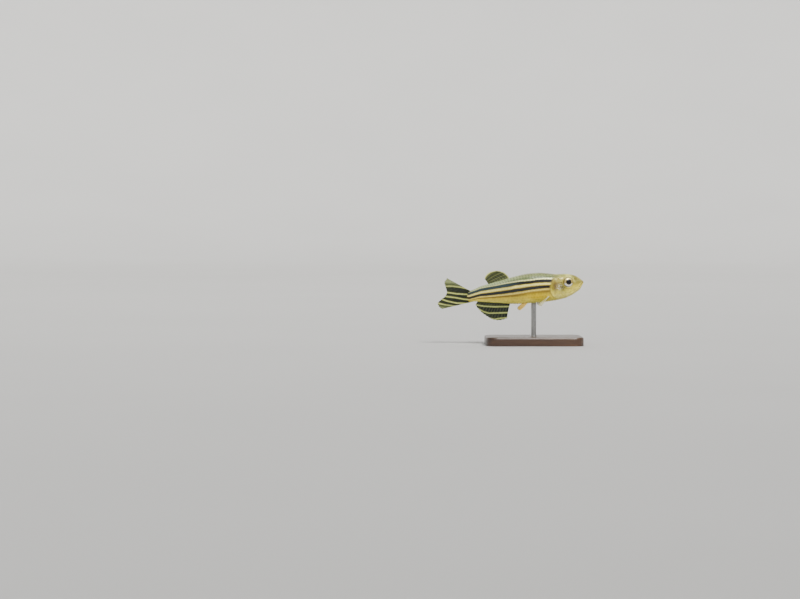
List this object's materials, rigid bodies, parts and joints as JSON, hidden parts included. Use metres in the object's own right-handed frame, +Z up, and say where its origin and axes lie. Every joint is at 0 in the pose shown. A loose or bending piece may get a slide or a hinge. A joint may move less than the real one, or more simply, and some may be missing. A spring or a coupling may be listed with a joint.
{
  "type": "zebra danio",
  "caption": "Life-size still model of a zebra danio swimming level, with gold and dark stripes along body and fins, held over a flat base by a short rod.",
  "frame": {"origin": "middle of the underside of the stand's base, which the part rests on", "axes": "+X towards the snout, +Z up along the fish's back, and the fish's right side faces -Y"},
  "size_m": [0.0423, 0.018, 0.0214],
  "materials": {
    "skin": "wet, scaled fish skin with gold and blue-black stripes",
    "gill_cover": "smooth, silvery with a warm blush",
    "fin": "thin rayed membrane, pale and dark bands",
    "eye": "glossy, silver-gold iris round a black pupil",
    "base": "dark satin wood",
    "rod": "plain brushed rod"
  },
  "bodies": {
    "root": {"head": "skin", "lower_jaw": "skin", "gill_cover_left": "gill_cover", "gill_cover_right": "gill_cover", "eye_left": "eye", "eye_right": "eye", "barbel_left": "skin", "barbel_right": "skin", "trunk": "skin", "tail": "skin", "dorsal_fin": "fin", "anal_fin": "fin", "caudal_fin": "fin", "pectoral_fin_left": "fin", "pectoral_fin_right": "fin", "pelvic_fin_left": "fin", "pelvic_fin_right": "fin", "stand_base": "base", "stand_rod": "rod"}
  },
  "joints": []
}
